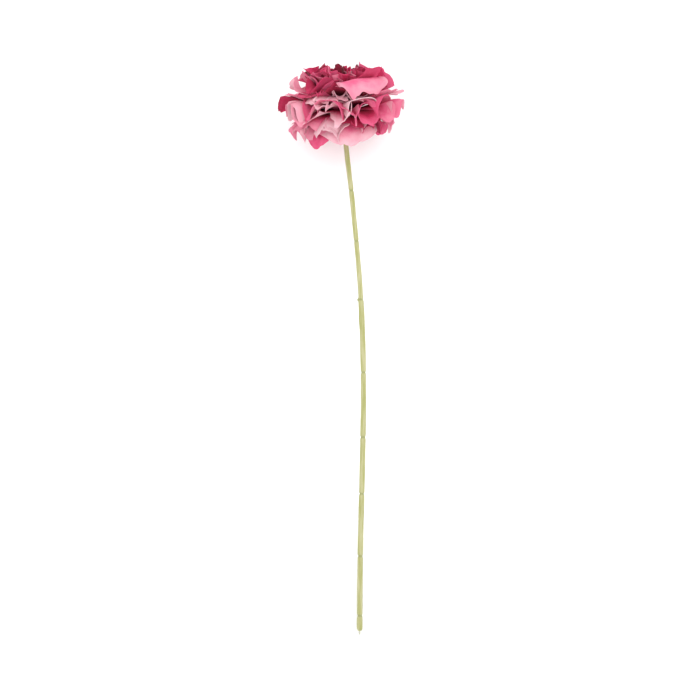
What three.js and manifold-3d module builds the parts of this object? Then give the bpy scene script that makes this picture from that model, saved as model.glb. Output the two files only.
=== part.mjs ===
// A single artificial carnation lying on a flat surface: five gathered layers of fabric petals, threaded on
// the peg of a moulded plastic stem that has pinched joints and a steel wire inside.
//
// Millimetres. The flower is drawn in its own frame, with +Y along the stem from its cut end to the bloom,
// +X to the flower's right and +Z out of its front. At the end the whole flower is laid on its back: it
// tips up about X, because the bloom is thicker than the stem, and its lowest points come down to Z = 0.

import * as THREE from "three";
import { mergeVertices } from "three/addons/utils/BufferGeometryUtils.js";
import Module from "manifold-3d";

const wasm = await Module();
wasm.setup();

// ---------------------------------------------------------------- driving dimensions

const SLEEVE_START = 2; // the wire's cut end stands this far out of the plastic
const SLEEVE_RADIUS_LOW = 1.47; // below the scarred joint
const SLEEVE_RADIUS_HIGH = 1.31; // above it
const JOINT_RADIUS = 1.05; // the stem at the bottom of a pinched joint
const JOINT_HALF_LENGTH = 1.2;
const JOINTS = [9.9, 41.2, 73.9, 103.6, 137.6, 175.9, 206.6, 233.1]; // up the stem from its cut end
const SCARRED_JOINT = 175.9; // the joint with a leaf scar on its left, where the stem gets thinner
const GATE_MARK = 164.6; // the small swelling left where the plastic entered the mould
const BORE_RADIUS = 0.66;
const WIRE_RADIUS = 0.45;

const BEND_STEP = 45; // the stem's line is given at even steps up the stem
const BEND_SIDEWAYS = [-0.2, 0.2, 1.3, 1.8, 0.25, -3.75, -8.4]; // how far it stands to the right at each
const NOD_START = 245; // from here the stem curves forward, so the bloom looks a little up
const NOD_RATE = 0.0048; // that curve, in radians for each millimetre

const HUB_ALONG = 272; // the underside of the lowest petal layer, up the stem
const COLLAR_RADIUS = 3;
const COLLAR_HEIGHT = 4;
const PEG_RADIUS = 1.2;
const DISC_BORE = 1.55; // the hole in the middle of each gathered layer
const DISC_GAP = 0.3; // between two gathered layers
const PILE_HEIGHT = 9; // of the five gathered layers on the peg
const CAP_RADIUS = 1.95;
const CAP_HEIGHT = 2.2;

const BLOOM_CLEARANCE = 23.8; // from the stem's line, at the hub, down to the surface the flower lies on

const PETAL_THICKNESS = 0.7;
const TOUCHING = 0.004; // two walls nearer than this count as touching
const PETAL_GAP = 0.55; // kept between the petals of neighbouring layers
const ROOT_START = 0.3; // a petal starts this far inside the place where it leaves its gathered layer
const BEND_REACH = 30; // the length over which a petal's slope goes from its start to its end
const ROLL_REACH = 12; // the length over which a rim rolls over by its roll, in degrees
const LEVEL_APART = 5.1; // how far apart two levels are at the root, for each whole level
const LEVEL_SPREAD = 1.75; // and how much farther for each millimetre along the petal
const SMALLEST_SWEEP = 4.5; // keeps a petal near the axis from winding round it
const FRONT_DROOP = 52; // the low petals in front hang this many degrees more than those at the back

// The five layers, from the one round the middle to the one that hangs over the stem. A level is a place
// between the upright heart, 0, and the hanging guard petals, 1, and a layer keeps to its own levels.
const LEVEL_HALF = 0.1;
const ROWS = [-1.8, 1.8, 0]; // neighbours in a layer take turns at the top, bottom and middle of its levels
const LAYERS = [
  {
    name: "petals_heart", level: 0.083, cells: [4, 3], colour: 0x8f1638,
    roll: 0,
    fringe: 1,
    behind: { count: 7, first: -20, sweep: -309, length: 18, width: 10 },
    alike: { row: 0, twist: 1.8, cup: 0.2, ruffle: 0.3, gather: 0.3, curl: 0 },
    inFront: [],
  },
  {
    name: "petals_crown", level: 0.305, cells: [4, 3], colour: 0xb52a55,
    roll: 12,
    fringe: 2.0,
    behind: { count: 4, first: -24, sweep: -132, length: 21.5, width: 15 },
    inFront: [
      { angle: 180, row: 1.8, length: 24, width: 13 },
      { angle: 164, row: -1.0, length: 21.5, width: 12 },
      { angle: 150, row: 1.8, length: 22, width: 15, roll: 30 },
      { angle: 130, row: 0.0, length: 22.5, width: 13, roll: 35 },
      { angle: 114, row: 1.6, length: 21, width: 13 },
      { angle: 98, row: -0.6, length: 21, width: 13 },
      { angle: 82, row: 0.8, length: 20, width: 13 },
      { angle: 66, row: -0.8, length: 19.5, width: 14 },
      { angle: 50, row: 1.2, length: 20.5, width: 14 },
      { angle: 33, row: -0.4, length: 21, width: 13 },
      { angle: 17, row: 1.0, length: 24, width: 14 },
      { angle: 2, row: -0.8, length: 24, width: 14 },
    ],
  },
  {
    name: "petals_upper", level: 0.5, cells: [4, 3], colour: 0xd95d83,
    roll: 40,
    fringe: 1,
    behind: { count: 4, first: -24, sweep: -132, length: 26, width: 25 },
    inFront: [
      { angle: 182, row: 1.8, length: 26.5, width: 18, roll: 0 },
      { angle: 168, row: -1.8, length: 24, width: 18, roll: 15 },
      { angle: 150, row: 1.5, length: 23.5, width: 20, roll: 30 },
      { angle: 134, row: -0.6, length: 24, width: 17, roll: 25 },
      { angle: 124, row: 0.8, length: 21, width: 16 },
      {
        angle: 106, row: 0.3, length: 23, width: 20, waves: 0.5,
        phase: 0.6, ruffle: 0.6, corner: 0.5, roll: 0,
      },
      { angle: 88, row: 1.6, length: 18, width: 14, roll: 60 },
      {
        angle: 58, row: -1.2, length: 30, width: 34, waves: 0.5, phase: 0.3, corner: 0.5, ruffle: 0.3,
        curl: 0.2, twist: 0.3, cup: 0.2, notch: 0, roll: 125, rollFrom: 16,
      },
      { angle: 30, row: -1.6, length: 25, width: 19, roll: 15 },
      { angle: 16, row: 0.6, length: 25, width: 20, roll: 5 },
      { angle: 0, row: 0.8, length: 25.5, width: 19, roll: 0 },
      { angle: 130, row: 1.7, length: 23, width: 15, roll: 85 },
      { angle: 112, row: 1.7, length: 21, width: 14, roll: 95 },
      { angle: 92, row: 1.5, length: 20, width: 13, roll: 100, waves: 1.0 },
    ],
  },
  {
    name: "petals_skirt", level: 0.7, cells: [3, 3], colour: 0xdf8296,
    roll: 0,
    fringe: 1,
    behind: { count: 4, first: -24, sweep: -132, length: 30.5, width: 22 },
    inFront: [
      { angle: 177, row: -0.6, length: 31, width: 19, corner: 0.85, ruffle: 0.4, cup: 0 },
      { angle: 168, row: -1.8, length: 28, width: 20 },
      { angle: 157, row: -0.6, length: 27, width: 16 },
      { angle: 146, row: 1.2, length: 26, width: 17 },
      { angle: 132, row: -1.0, length: 24, width: 18 },
      { angle: 117, row: 0.8, length: 23.5, width: 16 },
      { angle: 104, row: -1.6, length: 22, width: 16 },
      { angle: 94, row: 1.2, length: 22.5, width: 10, waves: 0.8, phase: 0.4 },
      { angle: 78, row: -0.2, length: 23.5, width: 15 },
      { angle: 64, row: -1.6, length: 23, width: 19 },
      { angle: 58, row: 1.5, length: 24, width: 16 },
      { angle: 42, row: -1.6, length: 26, width: 19 },
      { angle: 28, row: 1.0, length: 27, width: 18 },
      { angle: 16, row: -1.8, length: 28, width: 20 },
      { angle: 2, row: -0.4, length: 28.5, width: 18 },
    ],
  },
  {
    name: "petals_guard", level: 0.9, cells: [3, 3], colour: 0xe7a6b2,
    roll: 0,
    fringe: 1,
    behind: { count: 4, first: -24, sweep: -132, length: 26, width: 23 },
    inFront: [
      { angle: 180, row: -1.2, length: 25, width: 17 },
      { angle: 164, row: 1.2, length: 21.5, width: 17 },
      { angle: 148, row: -1.0, length: 20.5, width: 18 },
      {
        angle: 134, row: 1.8, length: 24, width: 21, waves: 0.5, phase: 1.57,
        ruffle: 0.1, corner: 0.4, curl: 0.1, twist: 0.1, notch: 0,
      },
      { angle: 124, row: -0.6, length: 20.5, width: 17 },
      { angle: 104, row: 0.0, length: 20.5, width: 15, waves: 1.0 },
      {
        angle: 80, row: 0.8, length: 22, width: 38, waves: 0.55, phase: 1.57, ruffle: 0.1,
        cup: -0.2, twist: 0.2, curl: 0.2, notch: 0, corner: 0.35,
      },
      { angle: 72, row: -1.6, length: 18.5, width: 15 },
      { angle: 54, row: -0.8, length: 17, width: 16 },
      { angle: 42, row: 1.0, length: 18, width: 17 },
      { angle: 28, row: -1.0, length: 19, width: 17 },
      { angle: 14, row: 1.0, length: 21, width: 17 },
      { angle: -2, row: -1.2, length: 22, width: 17 },
    ],
  },
];

// ---------------------------------------------------------------- the stem's line

// A smooth curve through even steps: each stretch is the cubic that its four nearest values give.
function throughSteps(values, position) {
  const last = values.length - 1;
  const step = Math.min(Math.max(Math.floor(position), 0), last - 1);
  const t = position - step;
  const [a, b, c, d] = [-1, 0, 1, 2].map((k) => values[Math.min(Math.max(step + k, 0), last)]);
  const bend = 2 * a - 5 * b + 4 * c - d + (3 * b - a - 3 * c + d) * t;
  return b + 0.5 * t * (c - a + t * bend);
}

function curvedLine(along) {
  const sideways = throughSteps(BEND_SIDEWAYS, along / BEND_STEP);
  const forward = 0.5 * NOD_RATE * Math.max(0, along - NOD_START) ** 2;
  return new THREE.Vector3(sideways, along, forward);
}

const HUB = curvedLine(HUB_ALONG);
const AXIS = curvedLine(HUB_ALONG + 0.5).sub(curvedLine(HUB_ALONG - 0.5)).normalize();

// Above the hub the stem runs on straight, along the bloom's axis.
function stemPoint(along) {
  return along < HUB_ALONG ? curvedLine(along) : HUB.clone().addScaledVector(AXIS, along - HUB_ALONG);
}

// The directions to the right, up the stem and to the front, at a place on the stem.
function stemAxes(along) {
  const up = stemPoint(along + 0.5).sub(stemPoint(along - 0.5)).normalize();
  const right = new THREE.Vector3(1, 0, 0).addScaledVector(up, -up.x).normalize();
  return { right, up, front: new THREE.Vector3().crossVectors(right, up) };
}

// Carries a geometry that was turned about a straight Y axis onto the stem's line.
function alongStem(geometry) {
  const place = geometry.getAttribute("position");
  for (let i = 0; i < place.count; i++) {
    const { right, up, front } = stemAxes(place.getY(i));
    const on = stemPoint(place.getY(i)).addScaledVector(right, place.getX(i)).addScaledVector(front, place.getZ(i));
    place.setXYZ(i, on.x, on.y, on.z);
  }
  return geometry;
}

// ---------------------------------------------------------------- solids

// A closed geometry as a solid that can be joined and cut.
function solidOf(geometry) {
  const bare = geometry.clone();
  bare.deleteAttribute("normal");
  bare.deleteAttribute("uv");
  const merged = mergeVertices(bare, 1e-4);
  const triVerts = new Uint32Array(merged.index.array);
  const vertProperties = new Float32Array(merged.getAttribute("position").array);
  const made = new wasm.Manifold(new wasm.Mesh({ numProp: 3, vertProperties, triVerts }));
  if (made.volume() > 0) return made;
  triVerts.reverse();
  return new wasm.Manifold(new wasm.Mesh({ numProp: 3, vertProperties, triVerts }));
}

function geometryOf(solid) {
  const mesh = solid.getMesh();
  const places = new Float32Array(mesh.numVert * 3);
  for (let i = 0; i < mesh.numVert; i++)
    places.set(mesh.vertProperties.subarray(i * mesh.numProp, i * mesh.numProp + 3), i * 3);
  const geometry = new THREE.BufferGeometry();
  geometry.setAttribute("position", new THREE.BufferAttribute(places, 3));
  geometry.setIndex(new THREE.BufferAttribute(new Uint32Array(mesh.triVerts), 1));
  geometry.computeVertexNormals();
  return geometry;
}

// Where two folds only touch, draws their walls back a little, so that each keeps its own surface.
function partTouching(geometry) {
  const place = geometry.getAttribute("position");
  const normal = geometry.getAttribute("normal");
  const found = new Map();
  for (let i = 0; i < place.count; i++) {
    const spot = [place.getX(i), place.getY(i), place.getZ(i)].map((x) => Math.round(x / TOUCHING)).join();
    found.set(spot, [...(found.get(spot) ?? []), i]);
  }
  for (const group of found.values()) {
    if (group.length < 2) continue;
    for (const i of group) {
      const back = new THREE.Vector3().fromBufferAttribute(normal, i).multiplyScalar(-4 * TOUCHING);
      place.setXYZ(i, place.getX(i) + back.x, place.getY(i) + back.y, place.getZ(i) + back.z);
    }
  }
  return geometry;
}

// The largest body of a solid, without the loose scraps that a cut can leave.
function mainBody(solid) {
  return solid.decompose().reduce((best, body) => (body.volume() > best.volume() ? body : best));
}

function turned(profile, sides) {
  return new THREE.LatheGeometry(profile.map(([radius, along]) => new THREE.Vector2(radius, along)), sides);
}

// ---------------------------------------------------------------- the stem

const sleeveRadius = (along) => (along > SCARRED_JOINT ? SLEEVE_RADIUS_HIGH : SLEEVE_RADIUS_LOW);

// The sleeve's outside, from its cut end up to the collar under the petals.
function sleeveOutside() {
  const outside = [[SLEEVE_RADIUS_LOW - 0.3, SLEEVE_START], [SLEEVE_RADIUS_LOW, SLEEVE_START + 0.5]];
  const stops = [...JOINTS, HUB_ALONG - COLLAR_HEIGHT];
  for (const [n, joint] of stops.entries()) {
    const below = n ? stops[n - 1] : SLEEVE_START;
    const radius = sleeveRadius(joint - 1);
    outside.push([radius, (2 * below + joint) / 3], [radius, (below + 2 * joint) / 3]);
    if (n === JOINTS.length) break;
    const above = sleeveRadius(joint + 1);
    outside.push(
      [radius, joint - JOINT_HALF_LENGTH],
      [radius * 0.94, joint - JOINT_HALF_LENGTH * 0.6],
      [JOINT_RADIUS, joint - JOINT_HALF_LENGTH * 0.2],
      [JOINT_RADIUS, joint + JOINT_HALF_LENGTH * 0.2],
      [above * 0.94, joint + JOINT_HALF_LENGTH * 0.6],
      [above, joint + JOINT_HALF_LENGTH],
    );
  }
  return outside;
}

function stemSleeve() {
  const pegTop = HUB_ALONG + PILE_HEIGHT + 1.1;
  const top = [
    [SLEEVE_RADIUS_HIGH, HUB_ALONG - COLLAR_HEIGHT],
    [COLLAR_RADIUS, HUB_ALONG - 1],
    [COLLAR_RADIUS, HUB_ALONG - DISC_GAP],
    [PEG_RADIUS, HUB_ALONG - DISC_GAP],
    [PEG_RADIUS, pegTop],
    [BORE_RADIUS, pegTop],
  ];
  const bore = [];
  for (let along = HUB_ALONG; along > SLEEVE_START; along -= 2 * BEND_STEP / 5) bore.push([BORE_RADIUS, along]);
  bore.push([BORE_RADIUS, SLEEVE_START]);
  const profile = [...sleeveOutside(), ...top, ...bore];
  profile.push(profile[0]);
  const geometry = turned(profile, 9);
  swell(geometry, SCARRED_JOINT - 1.5, 1.3, 0.55);
  swell(geometry, GATE_MARK, 2.2, 0.25);
  return alongStem(geometry);
}

// Pushes the left of the sleeve's outside out by height, over a short stretch round a place on the stem.
function swell(geometry, along, reach, height) {
  const place = geometry.getAttribute("position");
  for (let i = 0; i < place.count; i++) {
    const radius = Math.hypot(place.getX(i), place.getZ(i));
    const near = 1 - Math.abs(place.getY(i) - along) / reach;
    if (radius < JOINT_RADIUS || near <= 0) continue;
    const out = height * near * Math.max(0, -place.getX(i) / radius);
    place.setX(i, place.getX(i) * (1 + out / radius));
  }
}

function stemWire() {
  const top = HUB_ALONG + PILE_HEIGHT - 1;
  const profile = [[0, 0], [WIRE_RADIUS * 0.7, 0], [WIRE_RADIUS, 0.4]];
  for (let along = 2 * BEND_STEP / 5; along < top; along += 2 * BEND_STEP / 5) profile.push([WIRE_RADIUS, along]);
  profile.push([WIRE_RADIUS, top], [0, top]);
  return alongStem(turned(profile, 8));
}

// The cap pressed on the peg's end, which keeps the petal layers on.
function retainingCap() {
  const base = HUB_ALONG + PILE_HEIGHT + DISC_GAP;
  const socket = base + 1.1;
  const profile = [
    [DISC_BORE, base],
    [CAP_RADIUS, base],
    [CAP_RADIUS, base + CAP_HEIGHT * 0.6],
    [CAP_RADIUS * 0.7, base + CAP_HEIGHT],
    [0, base + CAP_HEIGHT],
    [0, socket],
    [DISC_BORE, socket],
    [DISC_BORE, base],
  ];
  return alongStem(turned(profile, 10));
}

// ---------------------------------------------------------------- petals

// A repeatable draw between 0 and 1.
function draw(seed) {
  const far = Math.sin(seed * 12.9898 + 78.233) * 43758.5453;
  return far - Math.floor(far);
}

const radians = THREE.MathUtils.degToRad;
const startSlope = (level) => radians(-5 + 105 * level);
const endSlope = (level) => radians(-25 + 115 * level + 85 * level * level);
const rootHeight = (level) => PILE_HEIGHT * (1 - level);
const rootRadius = (level) => 2.6 + 5.5 * level - 2.75 * level * level;

// How far out and up a bend goes that starts at a slope and turns at an even rate, over a length.
function swing(slope, rate, length) {
  const even = Math.abs(rate) < 1e-6 ? 1e-6 : rate;
  const end = slope + even * length;
  return { out: (Math.cos(slope) - Math.cos(end)) / even, up: (Math.sin(end) - Math.sin(slope)) / even };
}

// A place in the bloom as its distance from the axis and its height over the hub: petals follow arcs that
// leave the pile of layers and never cross, upright at level 0 and hanging at level 1. A petal's outer part can
// roll over by more degrees.
function bloomArc(level, reach, angle, roll, rollFrom) {
  const start = startSlope(level);
  const inFront = (0.5 + 0.5 * Math.sin(angle)) ** 2;
  const droop = radians(FRONT_DROOP) * THREE.MathUtils.smoothstep(level, 0.4, 0.9) * inFront;
  const rate = (endSlope(level) + droop - start) / BEND_REACH;
  const first = Math.min(reach, rollFrom);
  const body = swing(start, rate, first);
  const rim = swing(start + rate * first, rate + radians(roll) / ROLL_REACH, reach - first);
  return { radius: rootRadius(level) + body.out + rim.out, height: rootHeight(level) + body.up + rim.up };
}

// Where a petal is at u across, from -1 to 1, and v along, from 0 to 1.
function petalPoint(petal, u, v) {
  const notch = petal.notch * Math.exp(-((6 * (u - petal.notchAt)) ** 2));
  const edge = Math.sqrt(1 - petal.corner * u * u) - notch;
  const reach = -ROOT_START + (petal.length + ROOT_START) * v * edge;
  const half = petal.width * (0.18 + 0.32 * Math.sin(0.5 * Math.PI * Math.min(1, v / 0.72)) ** 1.3);
  const wave = Math.PI * petal.waves * u + petal.phase;
  const lift =
    petal.row +
    petal.twist * u * v +
    petal.cup * (u * u - 0.3) * v +
    petal.ruffle * v ** 1.4 * Math.sin(wave) +
    petal.curl * v ** 4;
  const apart = LEVEL_APART + LEVEL_SPREAD * Math.max(0, reach);
  const space = LEVEL_HALF - (0.5 * (PETAL_THICKNESS + PETAL_GAP)) / apart;
  const level = petal.level + (space * lift) / Math.sqrt(1 + lift * lift);
  const sideways = u * half + petal.gather * v * v * Math.sin(2 * wave);
  const spread = rootRadius(level) + reach * Math.sin(radians(105 * level - 10));
  const angle = radians(petal.angle) + sideways / Math.hypot(spread, SMALLEST_SWEEP);
  const { radius, height } = bloomArc(level, reach, angle, petal.roll, petal.rollFrom);
  const { right, up, front } = HUB_AXES;
  return HUB.clone()
    .addScaledVector(right, radius * Math.cos(angle))
    .addScaledVector(front, radius * Math.sin(angle))
    .addScaledVector(up, height);
}

const HUB_AXES = stemAxes(HUB_ALONG + 1);

// The petals of a layer: those set one by one in front, then the rest in even steps round the back. A draw
// decides what a petal isn't given.
function petalsOf(layer, layerNumber) {
  const { count, first, sweep, length, width } = layer.behind;
  const rest = Array.from({ length: count }, (_, n) => {
    const angle = first + (sweep * n) / (count - 1);
    const back = Math.max(0, -Math.sin(radians(angle)));
    return { angle, row: ROWS[n % ROWS.length], width, length: length * (1 - 0.13 * back), ...layer.alike };
  });
  return [...layer.inFront, ...rest].map((given, n) => {
    const pick = (k) => draw(100 * layerNumber + 10 * n + k);
    return {
      level: layer.level,
      twist: 1.6 * (pick(4) - 0.5),
      cup: 1.4 * (pick(5) - 0.4),
      ruffle: 0.7 + 0.6 * pick(6),
      waves: 0.8 + 0.6 * pick(7),
      phase: 6.28 * pick(8),
      curl: 1.6 * (pick(9) - 0.5),
      corner: 0.55,
      roll: n < layer.inFront.length ? layer.roll : 0,
      rollFrom: 12,
      gather: 1 + 1.2 * pick(2.5),
      notch: 0.1 * layer.fringe * pick(3.5),
      notchAt: 1.2 * (pick(4.5) - 0.5),
      ...given,
    };
  });
}

// A petal as a closed thin sheet: the same grid on both faces, half the thickness to either side.
function petalGeometry(petal, [cellsAcross, cellsAlong]) {
  const places = [];
  const columns = cellsAcross + 1;
  const faceSize = columns * (cellsAlong + 1);
  const step = 1e-3;
  for (const side of [1, -1])
    for (let j = 0; j <= cellsAlong; j++)
      for (let i = 0; i <= cellsAcross; i++) {
        const u = (2 * i) / cellsAcross - 1;
        const v = j / cellsAlong;
        const across = petalPoint(petal, u + step, v).sub(petalPoint(petal, u - step, v));
        const along = petalPoint(petal, u, v + step).sub(petalPoint(petal, u, Math.max(0, v - step)));
        const out = across.cross(along).normalize();
        places.push(petalPoint(petal, u, v).addScaledVector(out, (side * PETAL_THICKNESS) / 2));
      }
  const index = [];
  const at = (i, j) => j * columns + i;
  for (let j = 0; j < cellsAlong; j++)
    for (let i = 0; i < cellsAcross; i++) {
      const [a, b, c, d] = [at(i, j), at(i + 1, j), at(i + 1, j + 1), at(i, j + 1)];
      index.push(a, b, c, a, c, d);
      index.push(...[a, c, b, a, d, c].map((k) => k + faceSize));
    }
  const rim = [];
  for (let i = 0; i < cellsAcross; i++) rim.push(at(i, 0));
  for (let j = 0; j < cellsAlong; j++) rim.push(at(cellsAcross, j));
  for (let i = cellsAcross; i > 0; i--) rim.push(at(i, cellsAlong));
  for (let j = cellsAlong; j > 0; j--) rim.push(at(0, j));
  rim.forEach((p, k) => {
    const q = rim[(k + 1) % rim.length];
    index.push(p, p + faceSize, q + faceSize, p, q + faceSize, q);
  });
  return new THREE.BufferGeometry().setFromPoints(places).setIndex(index);
}

// The gathered middle of a layer, a ring that fits the peg.
function gatheredDisc(layer) {
  const low = HUB_ALONG + rootHeight(layer.level + LEVEL_HALF) + DISC_GAP / 2;
  const high = HUB_ALONG + rootHeight(layer.level - LEVEL_HALF) - DISC_GAP / 2;
  const edge = rootRadius(layer.level) + 0.9;
  const profile = [[DISC_BORE, low], [edge, low], [edge, high], [DISC_BORE, high], [DISC_BORE, low]];
  return alongStem(turned(profile, 12));
}

// ---------------------------------------------------------------- the flower on its surface

const TILT = Math.asin((BLOOM_CLEARANCE - SLEEVE_RADIUS_LOW) / HUB_ALONG);
const SURFACE = SLEEVE_START * Math.sin(TILT) - SLEEVE_RADIUS_LOW * Math.cos(TILT); // its height in the tipped frame

// What is above the surface, cut flat where the surface presses it.
function abovePlane(solid) {
  return solid.trimByPlane([0, Math.sin(TILT), Math.cos(TILT)], SURFACE);
}

function petalLayer(layer, layerNumber) {
  const petals = petalsOf(layer, layerNumber).map((petal) => solidOf(petalGeometry(petal, layer.cells)));
  const joined = wasm.Manifold.union([solidOf(gatheredDisc(layer)), ...petals]);
  const parted = partTouching(geometryOf(mainBody(joined.simplify(0.12))));
  return geometryOf(mainBody(abovePlane(solidOf(parted))));
}

const PLASTIC = new THREE.MeshStandardMaterial({ color: 0xc6c88c, roughness: 0.45, metalness: 0 });
const STEEL = new THREE.MeshStandardMaterial({ color: 0xb4b6b8, roughness: 0.35, metalness: 1 });

const flower = new THREE.Group();

function add(name, geometry, material) {
  const mesh = new THREE.Mesh(geometry, material);
  mesh.name = name;
  flower.add(mesh);
}

add("stem_sleeve", stemSleeve(), PLASTIC);
add("stem_wire", stemWire(), STEEL);
add("retaining_cap", retainingCap(), PLASTIC);
LAYERS.forEach((layer, n) => {
  const fabric = new THREE.MeshStandardMaterial({ color: layer.colour, roughness: 0.85, metalness: 0 });
  add(layer.name, petalLayer(layer, n), fabric);
});

flower.rotation.x = TILT;
flower.updateMatrixWorld(true);
const bounds = new THREE.Box3().setFromObject(flower, true);
flower.position.set(-(bounds.min.x + bounds.max.x) / 2, -(bounds.min.y + bounds.max.y) / 2, -bounds.min.z);

export default flower;
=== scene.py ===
# %% [markdown]
# # A lying artificial carnation
#
# The flower is a florist's single stem: gathered fabric petals threaded on a moulded plastic stem, with a
# steel wire inside. It lies on a table, so the stem runs along Y with the bloom at the far end, and the
# camera looks down on it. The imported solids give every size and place. This lesson dresses them: each petal
# layer, the sleeve and the wire get a finer shape and a finish made from nodes.

# %% The frame
import math

import bpy
import numpy as np
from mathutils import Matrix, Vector


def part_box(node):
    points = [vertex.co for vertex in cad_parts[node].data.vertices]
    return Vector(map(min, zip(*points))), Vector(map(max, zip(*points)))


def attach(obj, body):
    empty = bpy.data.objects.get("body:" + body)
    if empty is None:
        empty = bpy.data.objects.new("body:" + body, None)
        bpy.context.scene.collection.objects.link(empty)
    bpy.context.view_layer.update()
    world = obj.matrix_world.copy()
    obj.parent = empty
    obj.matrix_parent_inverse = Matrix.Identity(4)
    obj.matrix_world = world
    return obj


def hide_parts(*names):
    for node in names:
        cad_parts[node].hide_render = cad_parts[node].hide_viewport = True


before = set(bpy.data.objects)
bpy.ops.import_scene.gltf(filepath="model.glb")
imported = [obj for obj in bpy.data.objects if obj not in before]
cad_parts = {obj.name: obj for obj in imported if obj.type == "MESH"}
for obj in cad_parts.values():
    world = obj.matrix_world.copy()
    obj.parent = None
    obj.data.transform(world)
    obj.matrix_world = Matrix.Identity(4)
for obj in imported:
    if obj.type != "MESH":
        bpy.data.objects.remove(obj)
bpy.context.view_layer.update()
MM = 0.001
print("solids:", sorted(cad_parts))

# %% [markdown]
# The flower is easiest to draw upright in its own frame, in millimetres: Y up the stem, X to its right and Z
# out of its front. The stem isn't straight. It leans to the left towards the bloom, and its last few
# centimetres nod forward. A smooth curve through a few sideways steps gives that line, and three directions
# at each place on it let any ring or petal be set square to the stem.

# %% The stem's line
STEP_UP = 45.0
SIDEWAYS = [-0.2, 0.2, 1.3, 1.8, 0.25, -3.75, -8.4]
NOD_START, NOD_RATE = 245.0, 0.0048
HUB_ALONG = 272.0


def through_steps(values, position):
    # A smooth curve through evenly spaced values, each piece of it bent by its two neighbours.
    last = len(values) - 1
    step = min(max(math.floor(position), 0), last - 1)
    t = position - step
    a, b, c, d = [values[min(max(step + k, 0), last)] for k in (-1, 0, 1, 2)]
    bend = 2 * a - 5 * b + 4 * c - d + (3 * b - a - 3 * c + d) * t
    return b + 0.5 * t * (c - a + t * bend)


def curved_line(along):
    forward = 0.5 * NOD_RATE * max(0.0, along - NOD_START) ** 2
    return np.array([through_steps(SIDEWAYS, along / STEP_UP), along, forward])


HUB = curved_line(HUB_ALONG)
AXIS = curved_line(HUB_ALONG + 0.5) - curved_line(HUB_ALONG - 0.5)
AXIS /= np.linalg.norm(AXIS)


def stem_point(along):
    return curved_line(along) if along < HUB_ALONG else HUB + AXIS * (along - HUB_ALONG)


def stem_axes(along):
    up = stem_point(along + 0.5) - stem_point(along - 0.5)
    up /= np.linalg.norm(up)
    right = np.array([1.0, 0.0, 0.0]) - up * up[0]
    right /= np.linalg.norm(right)
    return right, up, np.cross(right, up)


def on_stem(x, along, z):
    right, _, front = stem_axes(along)
    return stem_point(along) + right * x + front * z


print("hub at", HUB.round(2), "axis", AXIS.round(3))

# %% [markdown]
# To lie down, the whole flower tips up about X until the thick bloom and the thin cut end touch the same
# table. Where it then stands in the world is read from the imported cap, a small turned piece whose corners can
# be worked out here: the difference between its packed box and its worked-out box is the shift.

# %% From the flower's frame to the world
BLOOM_CLEARANCE = 23.8
SLEEVE_RADIUS_LOW = 1.47
TILT = math.asin((BLOOM_CLEARANCE - SLEEVE_RADIUS_LOW) / HUB_ALONG)
TIP_UP = np.array([
    [1, 0, 0],
    [0, math.cos(TILT), -math.sin(TILT)],
    [0, math.sin(TILT), math.cos(TILT)],
])

CAP_SIDES, CAP_RADIUS, CAP_HEIGHT = 10, 1.95, 2.2
CAP_BASE = HUB_ALONG + 9.3
CAP_SHOULDER = CAP_BASE + 0.6 * CAP_HEIGHT
CAP_TOP_RADIUS = 0.7 * CAP_RADIUS
cap_rings = [(CAP_RADIUS, CAP_BASE), (CAP_RADIUS, CAP_SHOULDER), (CAP_TOP_RADIUS, CAP_BASE + CAP_HEIGHT)]
cap_corners = np.array([
    TIP_UP @ on_stem(radius * math.sin(turn), along, radius * math.cos(turn))
    for radius, along in cap_rings
    for turn in np.arange(CAP_SIDES) * 2 * math.pi / CAP_SIDES
])
packed_low, packed_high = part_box("retaining_cap")
SHIFT = np.array(packed_low) / MM - cap_corners.min(0)
cap_error = np.abs(np.array(packed_high) / MM - cap_corners.max(0) - SHIFT).max()
print("tilt %.2f degrees, shift %s, cap agrees to %.3f mm" % (math.degrees(TILT), SHIFT.round(2), cap_error))


def to_world(points):
    return (np.asarray(points) @ TIP_UP.T + SHIFT) * MM


# %% [markdown]
# A few small helpers are used all through. Operators act on whatever is selected, so each new piece starts
# by deselecting everything. Where a rule moves vertices, all their places are read and written as one array.

# %% Helpers for modelling
def start_clean():
    if bpy.context.object and bpy.context.object.mode != "OBJECT":
        bpy.ops.object.mode_set(mode="OBJECT")
    bpy.ops.object.select_all(action="DESELECT")


def pick_only(piece):
    start_clean()
    piece.select_set(True)
    bpy.context.view_layer.objects.active = piece


def vertex_places(piece):
    places = np.empty(len(piece.data.vertices) * 3)
    piece.data.vertices.foreach_get("co", places)
    return places.reshape(-1, 3)


def set_places(piece, places):
    piece.data.vertices.foreach_set("co", np.asarray(places, dtype=np.float32).ravel())
    piece.data.update()


def finish_piece(piece, nodes):
    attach(piece, "root")
    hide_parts(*nodes)
    print(piece.name, len(piece.data.polygons), "faces")


# %% [markdown]
# ## The sleeve
#
# The green stem is one soft moulding. Every few centimetres it is pinched to a thin neck with rounded
# shoulders, as such stems are made to be cut or bent there. By hand one would draw a circle and pull it up
# ring by ring, narrowing it at each neck, and that is what this does: extrude, move, scale. Above the scarred
# joint the stem is a little thinner. At the top it widens into a collar and ends in the peg for the petals.

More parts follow.
